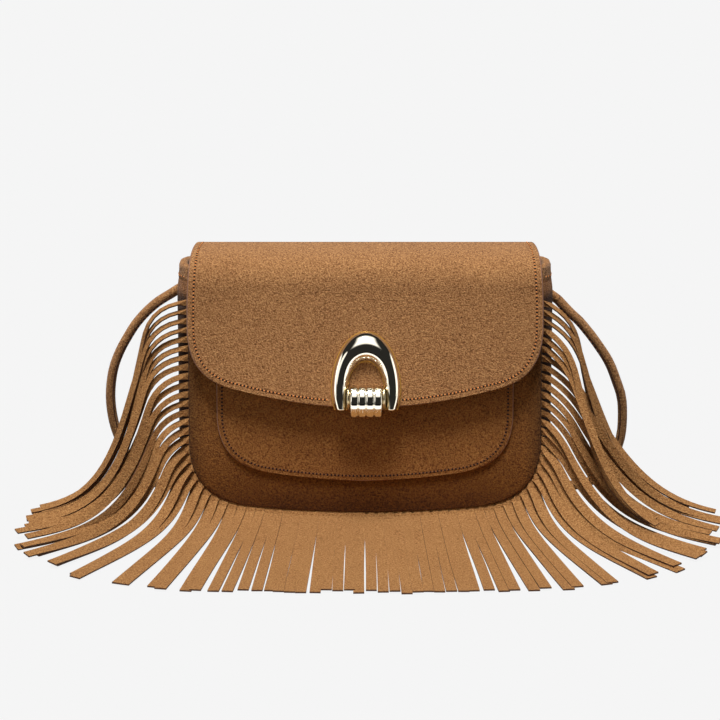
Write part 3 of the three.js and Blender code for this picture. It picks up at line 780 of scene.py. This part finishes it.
# Strips gather in ropes at the sides. From the top down: strips, degrees of fall and of heading added,
# millimetres of length added, and millimetres to the front
LEFT_ROPES = [(4, 0, 0, 0, 0), (4, 1.4, 4, 0, 5), (3, -0.5, -3, 0, -3), (4, 1.4, 4, 0, 4), (3, -3, -3, 0, -2),
              (5, 1, 2, 0, 3)]
RIGHT_ROPES = [(3, 2, 0, -4, 0), (3, 10, -20, -20, 8), (4, 0.5, 2, 0, -3), (4, 1.4, -3, 0, 2),
               (4, 0, 3, 0, -2), (5, 1, -2, 0, 2)]
# Distances along the seam over which strips begin to lie beside the bag, and begin and stop to lie loose and
# to go in pairs
BESIDE_FROM = (100, 150)
LOOSE_FROM = (98, 120)
LOOSE_TO = (160, 180)
PAIRS_FROM = (66, 84)
PAIRS_TO = (124, 134)
STRIP_LIP = 1
STRIP_STOPS = 30
STRIP_STEP = 0.5
SETTLE_HEIGHT = 20
SWAY_LENGTH = 26
BACK_STEP = 7
ROOT_NARROWING = 0.3
# How far each strip of a rope lies outside and in front of the one above it
ROPE_STEP = (0.7, 1.1)


def value_along(pairs, distance):
    if distance <= pairs[0][0]:
        return pairs[0][1]
    for (a, low), (b, high) in zip(pairs, pairs[1:]):
        if distance <= b:
            return mix(low, high, (distance - a) / (b - a))
    return pairs[-1][1]


def strip_sections(seam, along, place, total, tweak):
    """Centre, half width and half thickness of each cross-section of a strip."""
    distance = abs(place - total / 2)
    side = -1 if place < total / 2 else 1
    heading = math.radians(value_along(HEADING, distance + tweak["twin"]) + tweak["heading"])
    hang = value_along(HANG_LEFT if side < 0 else HANG_RIGHT, distance) + tweak["hang"]
    length = value_along(LENGTH, distance) + tweak["length"]
    width = value_along(WIDTH, distance)
    ground = STRIP_THICKNESS / 2 + 0.15 + value_along(PILE, distance) + tweak["layer"]
    out = Vector((along.y, 0, -along.x))
    seam_width = Vector((along.x, 0, along.y))
    point = Vector((seam.x, -half_depth(seam.y) + FIT + STRIP_THICKNESS / 2, seam.y)) + out * STRIP_LIP
    drift = Vector((side * ROPE_STEP[0], -ROPE_STEP[1], 0)) * tweak["member"] + Vector((0, tweak["back"], 0))
    sections = []
    travelled = 0.0
    stops = [length * k / STRIP_STOPS for k in range(1, STRIP_STOPS + 1)]
    tangent = out.copy()
    for stop in stops:
        while travelled < stop - 1e-9:
            step = min(STRIP_STEP, stop - travelled)
            facing = mix(min(heading, math.pi / 2), heading, smooth(travelled, 0, 60))
            wave = math.sin(travelled / SWAY_LENGTH + tweak["phase"]) * smooth(travelled, 20, 60)
            facing += math.radians(tweak["sway"]) * wave
            bend = smooth(travelled, 0, 40)
            settle = 1 - math.exp(-max(0, point.z - ground) / SETTLE_HEIGHT)
            drop = math.radians(min(mix(tweak["start"], hang, bend), hang * settle))
            free = Vector((side * math.sin(facing) * math.cos(drop), -math.cos(facing) * math.cos(drop),
                           -math.sin(drop)))
            tangent = out.lerp(free, smooth(travelled, 0, 3)).normalized()
            point = point + tangent * step
            travelled += step
        level = Vector((0, 0, 1)).cross(tangent).normalized()
        wide = seam_width.lerp(level, smooth(travelled + 4, 0, 5))
        wide = (wide - tangent * wide.dot(tangent)).normalized()
        roll = math.radians(tweak["roll"]) * (1 - 0.7 * smooth(travelled, length * 0.55, length))
        toward = wide * -side
        normal = toward.cross(tangent) * side
        wide = toward * math.cos(roll) - normal * math.sin(roll)
        normal = wide.cross(tangent) * side
        place_out = point + drift * smooth(travelled, 15, 70)
        narrow = 1 - tweak["narrow"] * (1 - smooth(travelled, 15, 60))
        sections.append((place_out, wide * narrow * width / 2, normal * STRIP_THICKNESS / 2))
    return sections


def rope_of(order, ropes):
    """The place of a strip in its rope, counted from the top, and what the rope adds to it."""
    for size, *added in ropes:
        if order < size:
            break
        order -= size
    return order, added


def fringe_piece():
    path = seam_path(STRIP_TOP + STRIP_PITCH / 2)
    total = path.length
    count = int(total / STRIP_PITCH)
    first = (total - (count - 1) * STRIP_PITCH) / 2
    points, faces, marks = [], [], []
    dice = random.Random(11)

    def ring(centre, wide, thick):
        start = len(points)
        points.extend([centre - wide + thick, centre + wide + thick,
                       centre + wide - thick, centre - wide - thick])
        return start

    for k in range(count):
        place = first + k * STRIP_PITCH
        seam, along = path.at(place / total)
        distance = abs(place - total / 2)
        right = place > total / 2
        order = min(k, count - 1 - k)
        member, (hang, heading, longer, forward) = rope_of(order, RIGHT_ROPES if right else LEFT_ROPES)
        beside = smooth(distance, *BESIDE_FROM)
        loose = smooth(distance, *LOOSE_FROM) * (1 - 0.6 * smooth(distance, *LOOSE_TO))
        corner = smooth(distance, *PAIRS_FROM) * (1 - smooth(distance, *PAIRS_TO))
        if k % 2 == 0 or corner < 0.5:
            astray = dice.uniform(-1, 1)
        tweak = {
            "heading": mix(0.4, 4, loose) * astray + heading * beside,
            "twin": (order % 2 - 0.5) * STRIP_PITCH * corner,
            "back": (BACK_STEP * (k % 2) - forward) * beside,
            "narrow": ROOT_NARROWING * beside,
            "hang": mix(0.4, 2.2, loose) * dice.uniform(-1, 1) + hang * beside,
            "length": dice.uniform(-3, 3) + longer * beside,
            "sway": mix(0.7, 4, beside) * dice.uniform(-1, 1),
            "phase": dice.uniform(0, 6),
            "layer": 0.55 * (k % 2) + 0.9 * loose * (k % 3),
            "member": member * beside,
            "start": mix(20, 30 if right else 8, beside),
            "roll": value_along(ROLL, distance) * dice.uniform(0.6, 1.4) + dice.uniform(-3, 3)}
        out = Vector((along.y, 0, -along.x))
        root = Vector((seam.x, -half_depth(seam.y) + FIT + STRIP_THICKNESS / 2, seam.y))
        wide = Vector((along.x, 0, along.y)) * value_along(WIDTH, distance) / 2
        thick = Vector((0, -STRIP_THICKNESS / 2, 0))
        rings = [ring(root - out * STRIP_BAND, wide, thick), ring(root - out * STRIP_LIP, wide, thick)]
        rings += [ring(*section) for section in strip_sections(seam, along, place, total, tweak)]
        for a, b in zip(rings, rings[1:]):
            for e in range(4):
                f = (e + 1) % 4
                faces.append((a + e, a + f, b + f, b + e))
                marks.append(1 if e in (1, 3) else 0)
        faces.append((rings[0] + 3, rings[0] + 2, rings[0] + 1, rings[0]))
        faces.append((rings[-1], rings[-1] + 1, rings[-1] + 2, rings[-1] + 3))
        marks += [1, 1]
    piece = new_object("fringe_look", points, faces, (strip_suede, strip_edge_shade), marks)
    piece.data.polygons.foreach_set("use_smooth", [False] * len(piece.data.polygons))
    return piece


fringe = fringe_piece()
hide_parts("fringe")

# Strap: one cord from tab to tab, with its spare length coiled behind the bag
STRAP_LEFT = [
    (-118.4, 17, 129), (-126, 17, 124.3), (-133, 18, 118.2), (-138.8, 18.5, 111.8), (-143.2, 19, 105.5),
    (-150.4, 20, 92.7), (-155, 21, 79.9), (-157, 22.5, 63.8), (-155.6, 24, 47.7), (-151.4, 26, 33.2),
    (-146.5, 28, 21), (-138.5, 30.5, 10), (-127, 33.5, 4.2), (-112, 36, 3.1), (-90, 38.5, 3.1),
    (-60, 40.7, 3.1), (-20.6, 41.6, 3.1)]
STRAP_RIGHT = [
    (117.7, 17, 125.4), (125.6, 17, 117), (130.9, 17.5, 112.1), (136.3, 18, 105.7), (141.1, 18.5, 99.4),
    (149.6, 20, 86.5), (154.9, 21, 73.7), (158.8, 22.5, 60.7), (159.3, 25, 41.2), (156.3, 26.5, 28),
    (151, 28.5, 16.5), (142, 31, 7.6), (131, 33.5, 3.8), (116, 36.5, 3.1), (92, 40, 3.1), (66, 43, 3.1),
    (46, 44.5, 4.2), (26.4, 44.8, 7)]
STRAP_REST = STRAP_DIAMETER / 2 + 0.1
COIL_TURNS = 3


def strap_line():
    """The strap's route: down on the left, round the turns of the coil, and up on the right."""
    line = [Vector(p) for p in STRAP_LEFT]
    for k in range(0, COIL_TURNS * 360 + 1, 15):
        radius = COIL_RADIUS + STRAP_DIAMETER * (0.5 - smooth(k, 320, 360) + 0.5 * smooth(k, 680, 720))
        height = STRAP_REST + STRAP_DIAMETER * smooth(k, 630, 680)
        angle = math.radians(k - 90)
        line.append(Vector((radius * math.cos(angle), COIL_Y + radius * math.sin(angle), height)))
    line.append(Vector((14, 45, 9)))
    line += [Vector(p) for p in reversed(STRAP_RIGHT)]
    return line


def smooth_line(points, step=4.0):
    """A line through the points, by centripetal spline, with a point every step."""
    result = []
    for k in range(len(points) - 1):
        a, b = points[max(0, k - 1)], points[k]
        c, d = points[k + 1], points[min(len(points) - 1, k + 2)]
        count = max(1, round((c - b).length / step))
        for s in range(count):
            t = s / count
            result.append(0.5 * ((2 * b) + (c - a) * t + (2 * a - 5 * b + 4 * c - d) * t * t
                                 + (3 * b - a - 3 * c + d) * t ** 3))
    result.append(points[-1])
    return result


strap_points = smooth_line(strap_line())
curve = bpy.data.curves.new("strap", "CURVE")
curve.dimensions = "3D"
curve.bevel_depth = STRAP_DIAMETER / 2 * MM
curve.bevel_resolution = 3
curve.use_fill_caps = True
spline = curve.splines.new("POLY")
spline.points.add(len(strap_points) - 1)
for point, place in zip(spline.points, strap_points):
    point.co = (*(place * MM), 1)
curve.materials.append(suede)
strap = bpy.data.objects.new("strap_look", curve)
scene.collection.objects.link(strap)
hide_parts("strap_left", "strap_right", "strap_coil")


def tube(name, points, radius, material, sides=14):
    rings, faces = [], []
    for k, point in enumerate(points):
        along = (points[min(k + 1, len(points) - 1)] - points[max(k - 1, 0)]).normalized()
        across = along.cross(Vector((0, 1, 0))).normalized()
        up = across.cross(along)
        for a in range(sides):
            turn = 2 * math.pi * a / sides
            rings.append(point + (across * math.cos(turn) + up * math.sin(turn)) * radius)
    for k in range(len(points) - 1):
        for a in range(sides):
            b = (a + 1) % sides
            faces.append((k * sides + a, k * sides + b, (k + 1) * sides + b, (k + 1) * sides + a))
    faces.append(tuple(reversed(range(sides))))
    faces.append(tuple(range(len(rings) - sides, len(rings))))
    return new_object(name, rings, faces, (material,))


def strap_surface(points, side):
    """A function that puts a flat point, the way along the strap and around it, on the strap's surface."""
    path = [0.0]
    for a, b in zip(points, points[1:]):
        path.append(path[-1] + (b - a).length)

    def place(p):
        k = max(1, min(len(points) - 1, sum(1 for value in path if value < p.x)))
        a, b = points[k - 1], points[k]
        along = (b - a).normalized()
        front = (Vector((0, -1, 0)) - along * -along.y).normalized()
        inward = Vector((-side, 0, 0))
        inward = (inward - along * along.dot(inward) - front * front.dot(inward)).normalized()
        angle = math.radians(50) + p.y / (STRAP_DIAMETER / 2)
        centre = a + (b - a) * ((p.x - path[k - 1]) / (path[k] - path[k - 1]))
        return centre + (front * math.cos(angle) + inward * math.sin(angle)) * STRAP_DIAMETER / 2
    return place


strap_details = []
for side_name, side, route in (("left", -1, STRAP_LEFT), ("right", 1, STRAP_RIGHT)):
    hanging = smooth_line([Vector(p) for p in route[:13]])
    surface = strap_surface(hanging, side)
    # A thin dark line of painted shade along the strap's crease
    crease = [surface(Vector((k * 2, -0.9))) for k in range(72)]
    strap_details.append(tube(f"strap_crease_{side_name}_look", crease, 0.34, crease_shade, sides=6))
    seam_line = [Vector((k / 2, 0)) for k in range(4, 90)]
    strap_details.append(stitches(f"strap_stitches_{side_name}_look", seam_line, surface, pitch=3))
    end = Vector(route[0])
    tab_points = [Vector((side * 107, 17, end.z + 6)), Vector((side * 112, 17, end.z + 4)), end]
    tab = tube(f"strap_tab_{side_name}_look", smooth_line(tab_points, 1.5), STRAP_DIAMETER / 2, suede)
    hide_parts(f"strap_tab_{side_name}")
    strap_details.append(tab)

# Materials of the pieces that stay as CAD made them
for node, material in (("lining_front", cloth), ("lining_back", cloth), ("lining_gusset", cloth),
                       ("flap_lining", cloth), ("base_board", board), ("snap_stud", steel),
                       ("snap_socket", steel)):
    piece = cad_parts[node]
    piece.data.materials.clear()
    piece.data.materials.append(material)

# Bodies
for piece in (front_panel, back_panel, gusset, hem_left, hem_right, hem_stitches_left, hem_stitches_right,
              pocket, pocket_stitches, fringe, strap, *strap_details):
    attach(piece, "bag")
for piece in (flap_stitches, arch, arch_rim, barrel, collar_left, collar_right):
    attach(piece, "flap")
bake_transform(flap)

# Floor and light. Only rays that a surface mirrors see the lit part of the floor, the side fields and the
# overhead field. Each pair is a range of metres along Y on the floor, or of a direction in the world
FLOOR_HEIGHT = -0.2
BACKDROP = linear(246, 246, 246)
FLOOR_GLOW = 1.118
FLOOR_SHARE = 0.85
MIRRORED_FLOOR = (-0.6, -0.44)
MIRRORED_FLOOR_STRENGTH = 1.5
AMBIENT = 0.14
SIDE_FIELDS = (0.84, 0.9)
OVERHEAD_UP = (0.6, 0.72)
OVERHEAD_ACROSS = (0.44, 0.32)
OVERHEAD_FORWARD = (0.06, -0.06)
FIELD_STRENGTH = 1.9
DARK_STRENGTH = 0.03
floor_corners = [(-6000, -3000), (6000, -3000), (6000, 9000), (-6000, 9000)]
floor = new_object("floor", [(x, y, FLOOR_HEIGHT) for x, y in floor_corners], [(0, 1, 2, 3)], (),
                   closed=False)
floor_material = bpy.data.materials.new("floor")
floor_material.use_nodes = True
tree = floor_material.node_tree
tree.nodes.clear()
output = tree.nodes.new("ShaderNodeOutputMaterial")
plain = tree.nodes.new("ShaderNodeBsdfDiffuse")
plain.inputs["Color"].default_value = (0.2, 0.2, 0.2, 1)
glow = tree.nodes.new("ShaderNodeEmission")
glow.inputs["Color"].default_value = (*BACKDROP, 1)
glow.inputs["Strength"].default_value = FLOOR_GLOW
seen = tree.nodes.new("ShaderNodeMixShader")
seen.inputs["Fac"].default_value = FLOOR_SHARE
choice = tree.nodes.new("ShaderNodeMixShader")
ray = tree.nodes.new("ShaderNodeLightPath")
tree.links.new(plain.outputs[0], seen.inputs[1])
tree.links.new(glow.outputs[0], seen.inputs[2])
tree.links.new(ray.outputs["Is Camera Ray"], choice.inputs["Fac"])
spot = tree.nodes.new("ShaderNodeNewGeometry")
split = tree.nodes.new("ShaderNodeSeparateXYZ")
tree.links.new(spot.outputs["Position"], split.inputs[0])
near = tree.nodes.new("ShaderNodeEmission")
lit = step_up(tree, split.outputs["Y"], *MIRRORED_FLOOR)
tree.links.new(link_math(tree, "MULTIPLY", lit, MIRRORED_FLOOR_STRENGTH), near.inputs["Strength"])
mirrored = tree.nodes.new("ShaderNodeMixShader")
tree.links.new(ray.outputs["Is Glossy Ray"], mirrored.inputs["Fac"])
tree.links.new(plain.outputs[0], mirrored.inputs[1])
tree.links.new(near.outputs[0], mirrored.inputs[2])
tree.links.new(mirrored.outputs[0], choice.inputs[1])
tree.links.new(seen.outputs[0], choice.inputs[2])
tree.links.new(choice.outputs[0], output.inputs["Surface"])
floor.data.materials.append(floor_material)


def sun(name, strength, direction, spread):
    lamp = bpy.data.objects.new(name, bpy.data.lights.new(name, "SUN"))
    lamp.data.energy = strength
    lamp.data.angle = math.radians(spread)
    lamp.rotation_euler = Vector(direction).to_track_quat("-Z", "Y").to_euler()
    scene.collection.objects.link(lamp)
    return lamp


sun("key light", 3.55, (0.05, 0.27, -0.96), 22)
sun("left light", 0.25, (0.7, 0.6, -0.4), 30)

world = bpy.data.worlds.new("studio")
world.use_nodes = True
scene.world = world
tree = world.node_tree
tree.nodes.clear()
output = tree.nodes.new("ShaderNodeOutputWorld")
ambient = tree.nodes.new("ShaderNodeBackground")
ambient.inputs["Color"].default_value = (1, 1, 1, 1)
ambient.inputs["Strength"].default_value = AMBIENT
backdrop = tree.nodes.new("ShaderNodeBackground")
backdrop.inputs["Color"].default_value = (*BACKDROP, 1)
mirror = tree.nodes.new("ShaderNodeBackground")
place = tree.nodes.new("ShaderNodeTexCoord")
split = tree.nodes.new("ShaderNodeSeparateXYZ")
tree.links.new(place.outputs["Generated"], split.inputs[0])
beside = link_math(tree, "ABSOLUTE", split.outputs["X"], 0)
panels = step_up(tree, beside, *SIDE_FIELDS)
high_up = step_up(tree, split.outputs["Z"], *OVERHEAD_UP)
in_middle = step_up(tree, beside, *OVERHEAD_ACROSS)
in_front = step_up(tree, split.outputs["Y"], *OVERHEAD_FORWARD)
overhead = link_math(tree, "MULTIPLY", link_math(tree, "MULTIPLY", high_up, in_middle), in_front)
bright = link_math(tree, "MAXIMUM", panels, overhead)
strength = link_math(tree, "ADD", link_math(tree, "MULTIPLY", bright, FIELD_STRENGTH), DARK_STRENGTH)
tree.links.new(strength, mirror.inputs["Strength"])
ray = tree.nodes.new("ShaderNodeLightPath")
for_mirror = tree.nodes.new("ShaderNodeMixShader")
for_camera = tree.nodes.new("ShaderNodeMixShader")
tree.links.new(ray.outputs["Is Glossy Ray"], for_mirror.inputs["Fac"])
tree.links.new(ambient.outputs[0], for_mirror.inputs[1])
tree.links.new(mirror.outputs[0], for_mirror.inputs[2])
tree.links.new(ray.outputs["Is Camera Ray"], for_camera.inputs["Fac"])
tree.links.new(for_mirror.outputs[0], for_camera.inputs[1])
tree.links.new(backdrop.outputs[0], for_camera.inputs[2])
tree.links.new(for_camera.outputs[0], output.inputs["Surface"])
